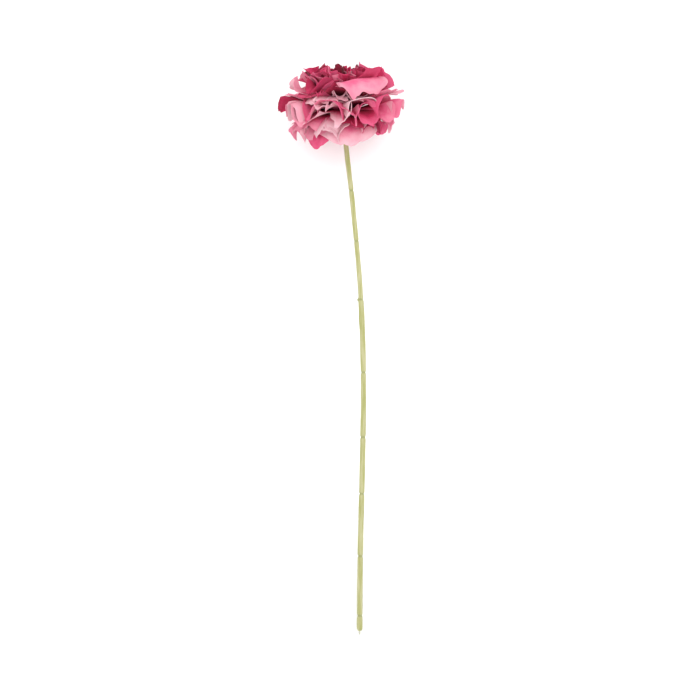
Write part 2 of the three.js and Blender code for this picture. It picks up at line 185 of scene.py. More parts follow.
# %% The sleeve's rings
JOINTS = [9.9, 41.2, 73.9, 103.6, 137.6, 175.9, 206.6, 233.1]
SCARRED_JOINT = 175.9
SLEEVE_RADIUS_HIGH = 1.31
JOINT_RADIUS = 1.0
SHOULDER_REACH, SHOULDER_FULLNESS = 1.4, 0.8
JOINT_RINGS = (0.15, 0.4, 0.7, 1.05, SHOULDER_REACH)
RINGS_APART, LEAST_APART = 3.2, 1.2
SLEEVE_START = 2.0
BORE_RADIUS = 0.66
# Radius, and height above the hub.
COLLAR_AND_PEG = [(1.5, -3.2), (2.2, -1.9), (2.85, -1.1), (2.98, -0.75), (2.9, -0.34), (1.25, -0.32),
                  (1.2, -0.1), (1.2, 9.8), (1.1, 10.1), (BORE_RADIUS, 10.1)]


def sleeve_radius(along):
    plain = SLEEVE_RADIUS_HIGH if along > SCARRED_JOINT else SLEEVE_RADIUS_LOW
    near = min(abs(along - joint) for joint in JOINTS)
    if near > SHOULDER_REACH:
        return plain
    rounded = math.sin(0.5 * math.pi * near / SHOULDER_REACH) ** SHOULDER_FULLNESS
    return JOINT_RADIUS + (plain - JOINT_RADIUS) * rounded


ring_heights = {SLEEVE_START + 1.5, HUB_ALONG - 4.2}
for joint in JOINTS:
    ring_heights.update(joint + side * offset for side in (-1, 1) for offset in JOINT_RINGS)
for height in np.arange(SLEEVE_START + 4, HUB_ALONG - 5, RINGS_APART):
    if min(abs(height - other) for other in ring_heights) > LEAST_APART:
        ring_heights.add(float(height))
rings = [(sleeve_radius(height), height) for height in sorted(ring_heights)]
rings += [(radius, HUB_ALONG + above) for radius, above in COLLAR_AND_PEG]
print(len(rings), "rings")


# %% [markdown]
# The tube is pulled out of one circle: first a narrow rounded end where the stem was cut, then up the outside
# through all the rings, over the top of the peg, and back down as the bore for the wire. The last ring lands
# on the first circle, and merging the two closes the mesh.

# %% Pulling the sleeve up ring by ring
SLEEVE_SIDES = 28
BORE_RINGS_APART = 9.0
# Radius, and height above the sleeve's start.
CUT_END = [(0.8, 0.0), (1.02, 0.2), (1.36, 0.8)]


def pull_ring(radius, along, previous):
    bpy.ops.mesh.extrude_region_move(TRANSFORM_OT_translate={"value": (0, 0, along - previous[1])})
    bpy.ops.transform.resize(value=(radius / previous[0], radius / previous[0], 1))
    return radius, along


start_clean()
now = (BORE_RADIUS, SLEEVE_START)
bpy.ops.mesh.primitive_circle_add(vertices=SLEEVE_SIDES, radius=now[0], location=(0, 0, now[1]))
sleeve = bpy.context.object
sleeve.name = sleeve.data.name = "moulded_sleeve"
bpy.ops.object.transform_apply(location=True)
bpy.ops.object.mode_set(mode="EDIT")
bpy.ops.mesh.select_all(action="SELECT")
for radius, along in [(radius, SLEEVE_START + above) for radius, above in CUT_END] + rings:
    now = pull_ring(radius, along, now)
for along in [*np.arange(HUB_ALONG, SLEEVE_START + 6, -BORE_RINGS_APART), SLEEVE_START]:
    now = pull_ring(BORE_RADIUS, along, now)
bpy.ops.mesh.select_all(action="SELECT")
bpy.ops.mesh.remove_doubles(threshold=0.001)
bpy.ops.mesh.normals_make_consistent(inside=False)
bpy.ops.object.mode_set(mode="OBJECT")
print("sleeve drawn straight,", len(sleeve.data.vertices), "vertices")

# %% [markdown]
# The mould leaves its own marks: a fine ridge down each side where its halves met, a swelling where the
# plastic entered, and at one joint a slanted scar like a leaf's. These are too slight to model by operators,
# so the vertices are moved by a rule, and the same pass bends the straight tube onto the stem's line. An
# attribute keeps how deep in a joint each vertex lies, as the mask for the shade painted into the joints'
# creases.

# %% Mould marks and the bend
SEAM_TURN, SEAM_WIDTH, SEAM_HEIGHT = 0.35, 0.12, 0.06
GATE_MARK, GATE_LENGTH, GATE_HEIGHT = 164.6, 1.9, 0.32
SCAR_SLANT, SCAR_LENGTH, SCAR_HEIGHT = 0.9, 0.75, 1.0
# How far from a joint the shade painted into its crease reaches.
JOINT_SHADE_REACH = 0.9
OUTSIDE_BORE, UNDER_COLLAR = 0.9, HUB_ALONG - 2


def mould_marks(turn, along):
    left = max(0.0, -math.cos(turn))
    seam = math.exp(-((abs(math.sin(turn - SEAM_TURN)) / SEAM_WIDTH) ** 2))
    gate = GATE_HEIGHT * left ** 3 * math.exp(-(((along - GATE_MARK) / GATE_LENGTH) ** 2))
    scar_along = SCARRED_JOINT - SCAR_SLANT + SCAR_SLANT * left
    scar = SCAR_HEIGHT * left ** 4 * math.exp(-(((along - scar_along) / SCAR_LENGTH) ** 2))
    uneven = 0.03 * math.sin(along * 0.31 + 2 * turn) + 0.02 * math.sin(along * 0.83 - turn)
    return SEAM_HEIGHT * seam + gate + scar + uneven


places = vertex_places(sleeve)
# Painted shade: this mask darkens the plastic in each joint's crease.
from_joint = [min(abs(along - joint) for joint in JOINTS) for along in places[:, 2]]
joint_shade_mask = [max(0.0, 1 - distance / JOINT_SHADE_REACH) for distance in from_joint]
sleeve.data.attributes.new("joint_shade_mask", "FLOAT", "POINT").data.foreach_set("value", joint_shade_mask)
bent = np.empty_like(places)
for number, (x, z, along) in enumerate(places):
    radius = math.hypot(x, z)
    if radius > OUTSIDE_BORE and along < UNDER_COLLAR:
        grown = 1 + mould_marks(math.atan2(z, x), along) / radius
        x, z = x * grown, z * grown
    bent[number] = on_stem(x, along, z)
set_places(sleeve, to_world(bent))
finish_piece(sleeve, ["stem_sleeve"])

# %% [markdown]
# ## The wire and the cap
#
# A thin steel wire runs up the sleeve, and its snipped tip stands out at the cut end. It is a cylinder, cut
# into short lengths by bisect so that it can bend, and its end is beveled and left slightly slanted by the
# snips. The cap that holds the petal layers is out of sight deep in the bloom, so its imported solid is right
# as it is and only gets a finish.

# %% The wire
WIRE_RADIUS, WIRE_SIDES = 0.45, 20
WIRE_TOP = HUB_ALONG + 8.0
WIRE_RINGS_APART = 9.0
SNIP_SLANT, SNIP_BEVEL = 0.12, 0.2
start_clean()
bpy.ops.mesh.primitive_cylinder_add(vertices=WIRE_SIDES, radius=WIRE_RADIUS, depth=WIRE_TOP,
                                    location=(0, 0, WIRE_TOP / 2))
wire = bpy.context.object
wire.name = wire.data.name = "steel_wire"
bpy.ops.object.transform_apply(location=True)
bpy.ops.object.mode_set(mode="EDIT")
for height in np.arange(8.0, WIRE_TOP - 4, WIRE_RINGS_APART):
    bpy.ops.mesh.select_all(action="SELECT")
    bpy.ops.mesh.bisect(plane_co=(0, 0, height), plane_no=(0, 0, 1))
bpy.ops.object.mode_set(mode="OBJECT")
snipped = wire.modifiers.new("snipped", "BEVEL")
snipped.width = SNIP_BEVEL
snipped.segments = 3
snipped.limit_method = "ANGLE"
bpy.ops.object.modifier_apply(modifier="snipped")
places = vertex_places(wire)
set_places(wire, to_world([
    on_stem(x, along - SNIP_SLANT * (x > 0) * (along < 1), z)
    for x, z, along in places
]))
finish_piece(wire, ["stem_wire"])

# %% [markdown]
# ## The petals
#
# Each layer of petals is cut from one round of thin fabric, pressed with ruffles, and gathered on the peg.
# So a petal is a thin sheet that leaves its ring, sweeps out and flares. All of them follow one family of
# arcs: upright at level 0 in the heart of the flower, standing out at the middle, hanging over the stem at
# level 1. Arcs of different levels never cross, so layers that wave within their own band of levels keep
# clear of each other. Only the last part of a rolled rim leaves its arc and curls over, and a few rolled rims
# of the upper layer cut into the skirt. The petals of one layer share its band, and many of them pass through
# their neighbours.

# %% The arcs that petals follow
PILE_HEIGHT = 9.0
BEND_REACH, ROLL_REACH = 30.0, 12.0
INNER_ROOT, WIDER_ROOT, EASED_ROOT = 2.6, 5.5, 2.75
# In degrees off the peg's direction: where a petal sets out, and where it points at the end of the bend.
START_LEAN, START_FALL = -5, 105
END_LEAN, END_FALL, END_HANG = -25, 115, 85
FRONT_DROOP = math.radians(52)
DROOP_FROM, DROOP_OVER = 0.4, 0.5
# A layer's band reaches this many levels to either side. One level is this many millimetres at the root, and
# so many more for each millimetre out. A sheet keeps half its wall and gap away from the band's edge.
LEVEL_HALF = 0.1
LEVEL_APART, LEVEL_SPREAD = 5.1, 1.75
WALL_AND_GAP = 1.25
RIGHT, _, FRONT = stem_axes(HUB_ALONG + 1)


def root_radius(level):
    return INNER_ROOT + WIDER_ROOT * level - EASED_ROOT * level**2


def swing(slope, rate, length):
    # How far out and up a line goes whose slope turns at a steady rate.
    rate = np.where(np.abs(rate) < 1e-6, 1e-6, rate)
    end = slope + rate * length
    return (np.cos(slope) - np.cos(end)) / rate, (np.sin(end) - np.sin(slope)) / rate


def bloom_arc(level, reach, turn, roll, roll_from):
    start = np.radians(START_LEAN + START_FALL * level)
    end = np.radians(END_LEAN + END_FALL * level + END_HANG * level**2)
    low = np.clip((level - DROOP_FROM) / DROOP_OVER, 0, 1)
    end = end + FRONT_DROOP * low * low * (3 - 2 * low) * (0.5 + 0.5 * np.sin(turn)) ** 2
    rate = (end - start) / BEND_REACH
    first = np.minimum(reach, roll_from)
    out, up = swing(start, rate, first)
    out_rolled, up_rolled = swing(start + rate * first, rate + math.radians(roll) / ROLL_REACH, reach - first)
    return root_radius(level) + out + out_rolled, PILE_HEIGHT * (1 - level) + up + up_rolled


# %% [markdown]
# Each layer has two kinds of petals. Those that face the viewer are shown one by one: their angle round the
# peg (0 to the right, 90 to the front), the row they take in the layer's band, length and width in
# millimetres, and the depth of their dye. Where a petal is special, the line also gives its waves, corner,
# twist or roll. Those underneath are hidden, and stand in even steps: how many, from which angle, over how
# many degrees. A repeatable draw decides most of what a line leaves open. The heart's petals share their row,
# twist, cup and ruffle, so that they wind round each other.
#
# Some words hold for a whole layer: roll bends over the rims of its shown petals, fringe crimps and notches
# its rims more strongly, and calm gives its petals fewer waves.

# %% What each petal is like
UNDERNEATH = (4, -24, -132)
LAYERS = [
    dict(name="heart", level=0.083, length=18, width=10, tint=0.95, roll=0, hidden=(7, -20, -309), shown=[],
         alike=dict(row=0, twist=1.8, cup=0.2, ruffle=0.3, gather=0.3, curl=0)),
    dict(name="crown", level=0.305, length=21.5, width=15, tint=0.95, fringe=2.0, roll=12,
         hidden=UNDERNEATH, shown=[
        dict(angle=180, row=1.8, length=26, width=14, tint=0.8),
        dict(angle=164, row=-1.0, length=21.5, width=12, tint=0.95),
        dict(angle=150, row=1.8, length=22, width=15, tint=0.5, roll=30),
        dict(angle=130, row=0.0, length=22.5, width=13, tint=0.7, roll=35),
        dict(angle=114, row=1.6, length=21, width=13, tint=0.6),
        dict(angle=98, row=-0.6, length=21, width=13, tint=1.1),
        dict(angle=82, row=0.8, length=20, width=13, tint=0.75),
        dict(angle=66, row=-0.8, length=18, width=14, tint=0.4),
        dict(angle=50, row=1.2, length=19, width=14, tint=0.85),
        dict(angle=33, row=-0.4, length=21, width=13, tint=0.75),
        dict(angle=17, row=1.0, length=21.5, width=14, tint=0.65),
        dict(angle=2, row=-0.8, length=21.5, width=14, tint=0.55),
    ]),
    dict(name="upper", level=0.5, length=26, width=25, tint=0.6, roll=40, calm=0.7,
         hidden=UNDERNEATH, shown=[
        dict(angle=182, row=1.8, length=27.5, width=22, tint=0.2, corner=0.7, roll=0),
        dict(angle=173, row=-1.2, length=25, width=18, tint=0.55, roll=10),
        dict(angle=150, row=1.5, length=23.5, width=20, tint=0.5, roll=30),
        dict(angle=134, row=-0.6, length=24, width=17, tint=0.75, roll=25),
        dict(angle=124, row=0.8, length=21, width=16, tint=0.5),
        dict(angle=100, row=0.3, length=24, width=20, tint=1.15, waves=0.5, phase=0.6, ruffle=0.6, corner=0.5,
             roll=0),
        dict(angle=74, row=1.6, length=21, width=16, tint=0.05, roll=90),
        dict(angle=54, row=-1.2, length=33, width=33, tint=0.32, waves=0.5, phase=0.3, corner=0.62,
             ruffle=0.1, ragged=0.3, curl=0.2, twist=1.1, cup=0.2, notch=0, roll=105, roll_from=16),
        dict(angle=34, row=-1.6, length=28, width=18, tint=0.6, roll=10),
        dict(angle=16, row=0.6, length=25, width=20, tint=0.6, roll=5),
        dict(angle=0, row=0.8, length=25.5, width=19, tint=0.35, roll=0),
        dict(angle=130, row=1.7, length=23, width=15, tint=0.1, roll=85),
        dict(angle=112, row=1.7, length=21, width=14, tint=0.05, roll=95),
        dict(angle=92, row=1.5, length=20, width=13, tint=0.0, roll=100, waves=1.0),
    ]),
    dict(name="skirt", level=0.7, length=30.5, width=22, tint=0.35, roll=0, calm=0.6,
         hidden=UNDERNEATH, shown=[
        dict(angle=170, row=-0.6, length=26, width=14, tint=0.2, tip=0.1, corner=0.85, ruffle=0.4, cup=0),
        dict(angle=178, row=-0.2, length=29.5, width=12, tint=0.8, tip=0, corner=0.85, ruffle=0.2, waves=0.5,
             twist=-2.5, curl=0),
        dict(angle=157, row=-0.6, length=27, width=16, tint=0.1),
        dict(angle=146, row=1.2, length=26, width=17, tint=0.15),
        dict(angle=132, row=-1.0, length=24, width=18, tint=0.3),
        dict(angle=117, row=-0.6, length=23.5, width=16, tint=0.0, ruffle=0.7),
        dict(angle=104, row=-1.6, length=22, width=16, tint=0.35),
        dict(angle=94, row=1.8, length=23.5, width=13, tint=-0.05, waves=0.8, phase=0.4),
        dict(angle=78, row=-0.2, length=23.5, width=15, tint=0.45),
        dict(angle=66, row=-1.8, length=25, width=20, tint=-0.05),
        dict(angle=58, row=1.5, length=24, width=16, tint=0.5),
        dict(angle=42, row=-1.6, length=26, width=19, tint=0.45),
        dict(angle=28, row=1.0, length=25.5, width=11, tint=0.35),
        dict(angle=14, row=0, length=28.5, width=14, tint=0.4, corner=0.95, ruffle=0.5, twist=0.5),
        dict(angle=2, row=-1.8, length=28.5, width=16, tint=0.25, corner=0.9, ruffle=0.3),
    ]),
    dict(name="guard", level=0.9, length=26, width=23, tint=0.25, roll=0, calm=0.6,
         hidden=UNDERNEATH, shown=[
        dict(angle=180, row=-1.2, length=26, width=15, tint=0.3, ruffle=0.5),
        dict(angle=164, row=1.2, length=22, width=15, tint=0.15),
        dict(angle=148, row=-1.0, length=20.5, width=18, tint=0.3),
        dict(angle=141, row=1.8, length=23.8, width=20, tint=0.55, waves=0.5, phase=1.57, ruffle=0.1,
             corner=0.4, curl=0.1, twist=0.1, notch=0, ragged=0.3),
        dict(angle=124, row=-0.6, length=20.5, width=17, tint=0.0),
        dict(angle=104, row=0.0, length=20.5, width=15, tint=0.05, waves=1.0),
        dict(angle=80, row=0.8, length=22, width=38, tint=0.12, waves=0.55, phase=1.57, ruffle=0.1, cup=-0.2,
             twist=0.2, curl=0.2, notch=0, corner=0.35, ragged=0.3),
        dict(angle=72, row=-1.6, length=18.5, width=15, tint=0.75),
        dict(angle=54, row=-0.8, length=17, width=16, tint=0.25),
        dict(angle=42, row=1.0, length=18, width=15, tint=0.7),
        dict(angle=28, row=-1.0, length=19, width=14, tint=0.6),
        dict(angle=14, row=1.0, length=20, width=13, tint=0.4),
        dict(angle=-2, row=-1.2, length=22, width=13, tint=0.2),
    ]),
]
ROWS = [-1.8, 1.8, 0.0]
SHORTER_BEHIND = 0.13


def draw(seed):
    # A number from 0 to 1 that looks random and is the same in every run.
    far = math.sin(seed * 12.9898 + 78.233) * 43758.5453
    return far - math.floor(far)


def petals_of(layer, number):
    fringe, calm = layer.get("fringe", 1.0), layer.get("calm", 1)
    count, first, spread = layer["hidden"]
    placed = list(layer["shown"])
    for n in range(count):
        angle = first + spread * n / max(1, count - 1)
        behind = max(0.0, -math.sin(math.radians(angle)))
        placed.append(dict(dict(angle=angle, row=ROWS[n % 3], width=layer["width"]),
                           length=layer["length"] * (1 - SHORTER_BEHIND * behind), **layer.get("alike", {})))
    petals = []
    for n, given in enumerate(placed):
        pick = lambda k: draw(100 * number + 10 * n + k)
        # Most qualities are drawn about a usual value, and the last few are set.
        petal = dict(
            level=layer["level"],
            tint=layer["tint"] + 0.3 * (pick(0) - 0.5),
            tip=0.3 * (pick(1) - 0.7),
            twist=1.6 * (pick(4) - 0.5),
            cup=1.4 * (pick(5) - 0.4),
            ruffle=1.0 + 0.9 * pick(6),
            waves=(1.4 + 1.1 * pick(7)) * calm,
            phase=6.28 * pick(8),
            curl=1.6 * (pick(9) - 0.5),
            gather=1 + 1.2 * pick(2.5),
            notch=0.1 * fringe * pick(3.5),
            notch_at=1.2 * (pick(4.5) - 0.5),
            seed=pick(7.5),
            corner=0.55, ragged=1.0, fringe=fringe, roll_from=12,
            roll=layer["roll"] if n < len(layer["shown"]) else 0,
        )
        petal.update(given)
        petals.append(petal)
    return petals


# %% [markdown]
# A petal is modelled once as a flat grid. Each copy has its own mesh, and its vertices are carried from the
# grid's square (across and along) onto the petal's surface. Besides the broad folds and the notch that the
# solid has, the sheet gets what scissors and hot irons leave: a finely toothed edge, and small crimps near
# the rim.

# %% From the flat grid to the petal
PETAL_ACROSS, PETAL_ALONG = 44, 28
ROOT_SUNK = 0.3
NOTCH_NARROW = 6
WIDEST_AT, ROOT_WIDTH, ADDED_WIDTH = 0.72, 0.18, 0.32
BROAD_CRIMP, FINE_CRIMP = 0.4, 0.14
MIDDLE_LEAN, LEAST_SPREAD = 10, 4.5


def half_width(petal, v):
    opened = np.sin(0.5 * np.pi * np.minimum(1, v / WIDEST_AT)) ** 1.3
    return petal["width"] * (ROOT_WIDTH + ADDED_WIDTH * opened)


def rim(petal, u):
    notch = petal["notch"] * np.exp(-((NOTCH_NARROW * (u - petal["notch_at"])) ** 2))
    teeth = 0.012 * np.sin(11 * u + 40 * petal["seed"]) + 0.010 * np.sin(27 * u + 9 * petal["seed"])
    return np.sqrt(1 - petal["corner"] * u * u) - notch + petal["ragged"] * teeth


def petal_surface(petal, u, v):
    seed, fringe = petal["seed"], petal["fringe"]
    reach = -ROOT_SUNK + (petal["length"] + ROOT_SUNK) * v * rim(petal, u)
    wave = np.pi * petal["waves"] * u + petal["phase"]
    lift = (petal["row"] + petal["twist"] * u * v + petal["cup"] * (u * u - 0.3) * v
            + petal["ruffle"] * v**1.4 * np.sin(wave) + petal["curl"] * v**4)
    lift = lift + fringe * BROAD_CRIMP * v**3 * np.sin(9 * u + 50 * seed)
    lift = lift + fringe * FINE_CRIMP * v**5 * np.sin(23 * u + 5 * v + 20 * seed)
    space = LEVEL_HALF - 0.5 * WALL_AND_GAP / (LEVEL_APART + LEVEL_SPREAD * np.maximum(0, reach))
    level = petal["level"] + space * lift / np.sqrt(1 + lift * lift)
    sideways = u * half_width(petal, v) + petal["gather"] * v * v * np.sin(2 * wave)
    spread = root_radius(level) + reach * np.sin(np.radians(START_FALL * level - MIDDLE_LEAN))
    turn = math.radians(petal["angle"]) + sideways / np.hypot(spread, LEAST_SPREAD)
    radius, height = bloom_arc(level, reach, turn, petal["roll"], petal["roll_from"])
    flat = (radius * np.cos(turn))[:, None] * RIGHT + (radius * np.sin(turn))[:, None] * FRONT
    return HUB + flat + height[:, None] * AXIS


start_clean()
bpy.ops.mesh.primitive_grid_add(x_subdivisions=PETAL_ACROSS, y_subdivisions=PETAL_ALONG, size=2,
                                calc_uvs=True)
flat_petal = bpy.context.object
flat_petal.name = flat_petal.data.name = "flat_petal"
grid = vertex_places(flat_petal)
GRID_U, GRID_V = grid[:, 0].clip(-1, 1), (grid[:, 1].clip(-1, 1) + 1) / 2
print("flat petal:", len(grid), "vertices")


# %% [markdown]
# The lowest petals press on the table. There a petal is bent flat: what would pass through the table keeps
# only a trace of its slope. Each petal also stores two numbers for the dye: the depth of its tint, and how
# much deeper or paler its tip is.

# %% Setting the petals of a layer
PRESSED_BELOW = 0.45 * MM
STILL_SLOPING = 0.06


def store_dye(piece, tint, tip):
    for label, value in (("petal_tint", tint), ("petal_tip", tip)):
        store = piece.data.attributes.new(label, "FLOAT", "POINT")
        store.data.foreach_set("value", np.full(len(piece.data.vertices), value, dtype=np.float32))


def lay_petals(layer, number):
    start_clean()
    copies = []
    for petal in petals_of(layer, number):
        copy = flat_petal.copy()
        copy.data = flat_petal.data.copy()
        bpy.context.collection.objects.link(copy)
        places = to_world(petal_surface(petal, GRID_U, GRID_V))
        below = np.minimum(0, places[:, 2] - PRESSED_BELOW)
        places[:, 2] -= (1 - STILL_SLOPING) * below
        set_places(copy, places)
        store_dye(copy, petal["tint"], petal["tip"])
        copy.select_set(True)
        copies.append(copy)
    bpy.context.view_layer.objects.active = copies[0]
    bpy.ops.object.join()
    piece = bpy.context.object
    piece.name = piece.data.name = "fabric_" + layer["name"]
    return piece


layers = {layer["name"]: lay_petals(layer, number) for number, layer in enumerate(LAYERS)}
bpy.data.objects.remove(flat_petal)
print("layers:", {name: len(piece.data.polygons) for name, piece in layers.items()})

# %% [markdown]
# The fabric is about a third of a millimetre thick with its stiffening. Solidify gives both faces and the cut
# edge, and puts the underside on a second material slot, because the dye is paler there. It is applied once
# the two materials exist.

# %% Thickness
CLOTH_THICKNESS = 0.32 * MM
for piece in layers.values():
    pick_only(piece)
    cloth = piece.modifiers.new("cloth", "SOLIDIFY")
    cloth.thickness = CLOTH_THICKNESS
    cloth.offset = 0
    cloth.material_offset = 1
    cloth.material_offset_rim = 0
print("cloth %.2f mm thick" % (CLOTH_THICKNESS / MM))

# %% [markdown]
# The middle of a layer, pleated tight round the peg, is a thick flattened ring. A torus is squashed to that
# height and its radius is waved for the pleats. It is joined to its petals, whose roots are sunk in it.

# %% The gathered middle
RING_PAST_ROOTS, RING_BORE = 0.9, 1.55
RING_HALF_HEIGHT = 0.75
PLEATS, PLEAT_DEPTH = 24, 0.04
RING_TINT = 0.6


def gather_ring(piece, level):
    start_clean()
    edge = root_radius(level) + RING_PAST_ROOTS
    bpy.ops.mesh.primitive_torus_add(major_segments=48, minor_segments=12, generate_uvs=True,
                                     major_radius=(edge + RING_BORE) / 2, minor_radius=(edge - RING_BORE) / 2)
    ring = bpy.context.object
    places = vertex_places(ring)
    height = PILE_HEIGHT * (1 - level) + RING_HALF_HEIGHT * places[:, 2] / places[:, 2].max()
    pleated = 1 + PLEAT_DEPTH * np.sin(PLEATS * np.arctan2(places[:, 1], places[:, 0]))
    across = (places[:, :1] * RIGHT + places[:, 1:2] * FRONT) * pleated[:, None]
    set_places(ring, to_world(HUB + across + height[:, None] * AXIS))
    store_dye(ring, RING_TINT, 0.0)
    ring.data.materials.append(petal_face)
    bpy.ops.object.shade_smooth()
    piece.select_set(True)
    bpy.context.view_layer.objects.active = piece
    bpy.ops.object.join()


print("rings reach", [round(root_radius(layer["level"]) + RING_PAST_ROOTS, 2) for layer in LAYERS], "mm")

# %% [markdown]
# ## Finishes
#
# Three effects are each used by two materials, so each is a node group with named inputs and outputs: the
# dye, the weave and the mottle. A few small functions add and link nodes, so that each group reads as a list
# of what it does. The fine share is how strong each finer layer of a noise is against the one before it.

# %% Tools for node groups
FINE_SHARE = 0.55


def new_group(name, inputs, outputs):
    group = bpy.data.node_groups.new(name, "ShaderNodeTree")
    for label, kind, value in inputs:
        socket = group.interface.new_socket(name=label, in_out="INPUT", socket_type=kind)
        socket.default_value = value
    for label, kind in outputs:
        group.interface.new_socket(name=label, in_out="OUTPUT", socket_type=kind)
    return group, group.nodes.new("NodeGroupInput"), group.nodes.new("NodeGroupOutput")


def math_node(tree, operation, first, second=None, third=None):
    node = tree.nodes.new("ShaderNodeMath")
    node.operation = operation
    for socket, value in zip(node.inputs, (first, second, third)):
        if value is None:
            continue
        if isinstance(value, (int, float)):
            socket.default_value = value
        else:
            tree.links.new(value, socket)
    return node.outputs[0]


def noise_node(tree, vector, scale, detail):
    node = tree.nodes.new("ShaderNodeTexNoise")
    node.inputs["Scale"].default_value = scale
    node.inputs["Detail"].default_value = detail
    node.inputs["Roughness"].default_value = FINE_SHARE
    tree.links.new(vector, node.inputs["Vector"])
    return node.outputs["Fac"]


def mix_colour(tree, factor, first, second):
    node = tree.nodes.new("ShaderNodeMix")
    node.data_type = "RGBA"
    tree.links.new(factor, node.inputs["Factor"])
    tree.links.new(first, node.inputs["A"])
    tree.links.new(second, node.inputs["B"])
    return node.outputs["Result"]


def map_range(tree, value, low, high, to_low=0.0, to_high=1.0):
    node = tree.nodes.new("ShaderNodeMapRange")
    node.interpolation_type = "SMOOTHSTEP"
    for label, number in (("From Min", low), ("From Max", high), ("To Min", to_low), ("To Max", to_high)):
        node.inputs[label].default_value = number
    tree.links.new(value, node.inputs["Value"])
    return node.outputs["Result"]


def linear(red, green, blue):
    # From the 0 to 255 of a colour picker to the linear colour that sockets hold.
    return tuple((c / 12.92 if c <= 0.04045 else ((c + 0.055) / 1.055) ** 2.4)
                 for c in (red / 255, green / 255, blue / 255)) + (1.0,)


print("mid grey as linear:", round(linear(128, 128, 128)[0], 3))


# %% [markdown]
# The dye runs from a deep root through the petal's body to its edge, uneven as dip-dyed fabric is. The deep
# root is partly the fabric's own dye and partly shade painted into the gaps near the heart. All that changes
# it is added up as one number: the petal's own tint, its streaks, its tip, its root with its painted shade,
# and what the material asks for. That number picks a shade from a ramp of pinks, from a pale pink to deep wine.

# %% The dye
SHADES = [(0.0, (234, 190, 199)), (0.14, (230, 156, 174)), (0.3, (222, 94, 134)), (0.46, (200, 42, 92)),
          (0.62, (150, 14, 56)), (0.8, (92, 4, 26)), (1.0, (44, 1, 10))]
RAMP_PER_TINT = 0.62
STREAK_SCALE, STREAK_DEPTH = 7.0, 0.36
CLOUD_SCALE, CLOUD_DEPTH = 90.0, 0.4
dye, dye_in, dye_out = new_group(
    "petal_dye", [("Deepen", "NodeSocketFloat", 0.0), ("Root", "NodeSocketFloat", 0.5)],
    [("Colour", "NodeSocketColor")])
uv = dye.nodes.new("ShaderNodeUVMap")
split = dye.nodes.new("ShaderNodeSeparateXYZ")
dye.links.new(uv.outputs["UV"], split.inputs[0])
place = dye.nodes.new("ShaderNodeTexCoord").outputs["Object"]
tint, tip = dye.nodes.new("ShaderNodeAttribute"), dye.nodes.new("ShaderNodeAttribute")
tint.attribute_name, tip.attribute_name = "petal_tint", "petal_tip"
streaks = math_node(dye, "MULTIPLY_ADD", noise_node(dye, uv.outputs["UV"], STREAK_SCALE, 4.0),
                    STREAK_DEPTH, -STREAK_DEPTH / 2)
cloudy = math_node(dye, "MULTIPLY_ADD", noise_node(dye, place, CLOUD_SCALE, 4.0),
                   CLOUD_DEPTH, -CLOUD_DEPTH / 2)
along = math_node(dye, "ADD", split.outputs["Y"], cloudy)
at_edge = math_node(dye, "MULTIPLY", map_range(dye, along, 0.6, 1.0), tip.outputs["Fac"])
# Deeper towards the root: partly the fabric's own dye, partly painted shade in the gaps near the heart.
root_dye_and_shade = math_node(dye, "MULTIPLY", map_range(dye, along, 0.15, 0.85, 1.0, 0.0), dye_in.outputs["Root"])
depth = tint.outputs["Fac"]
for change in (streaks, at_edge, root_dye_and_shade, dye_in.outputs["Deepen"]):
    depth = math_node(dye, "ADD", depth, change)
ramp = dye.nodes.new("ShaderNodeValToRGB")
stops = ramp.color_ramp.elements
for number, (position, shade) in enumerate(SHADES):
    stop = stops[number] if number < 2 else stops.new(position)
    stop.position, stop.color = position, linear(*shade)
dye.links.new(math_node(dye, "MULTIPLY", depth, RAMP_PER_TINT), ramp.inputs["Fac"])
dye.links.new(ramp.outputs["Color"], dye_out.inputs["Colour"])
print("dye group:", len(dye.nodes), "nodes")

# %% [markdown]
# The weave is a fine grid of threads in the petal's own across and along, so it follows every fold. Slubs,
# the thicker places of a thread, make it uneven, and duller where they lie.

# %% The weave
THREAD_RELIEF, SLUB_SCALE = 0.35, 700.0
ROUGHEST, SMOOTHEST = 0.92, 0.72
weave, weave_in, weave_out = new_group(
    "fabric_weave", [("Threads", "NodeSocketFloat", 90.0)],
    [("Height", "NodeSocketFloat"), ("Roughness", "NodeSocketFloat")])
uv = weave.nodes.new("ShaderNodeUVMap")
split = weave.nodes.new("ShaderNodeSeparateXYZ")
weave.links.new(uv.outputs["UV"], split.inputs[0])
threads = []
for axis in ("X", "Y"):
    turns = math_node(weave, "MULTIPLY", split.outputs[axis], weave_in.outputs["Threads"])
    threads.append(math_node(weave, "SINE", math_node(weave, "MULTIPLY", turns, 2 * math.pi)))
crossing = math_node(weave, "MULTIPLY", threads[0], threads[1])
place = weave.nodes.new("ShaderNodeTexCoord").outputs["Object"]
slub = noise_node(weave, place, SLUB_SCALE, 2.0)
height = math_node(weave, "ADD", math_node(weave, "MULTIPLY", crossing, THREAD_RELIEF), slub)
weave.links.new(height, weave_out.inputs["Height"])
weave.links.new(map_range(weave, slub, 0.3, 0.7, SMOOTHEST, ROUGHEST), weave_out.inputs["Roughness"])
print("weave group:", len(weave.nodes), "nodes")

# %% [markdown]
# Plastic that ran down a long mould and wire that was drawn through a die both show faint streaks along
# their length. The mottle is a noise drawn out that way. It goes from a dark tone to a light one, and from
# smooth to rough with it.

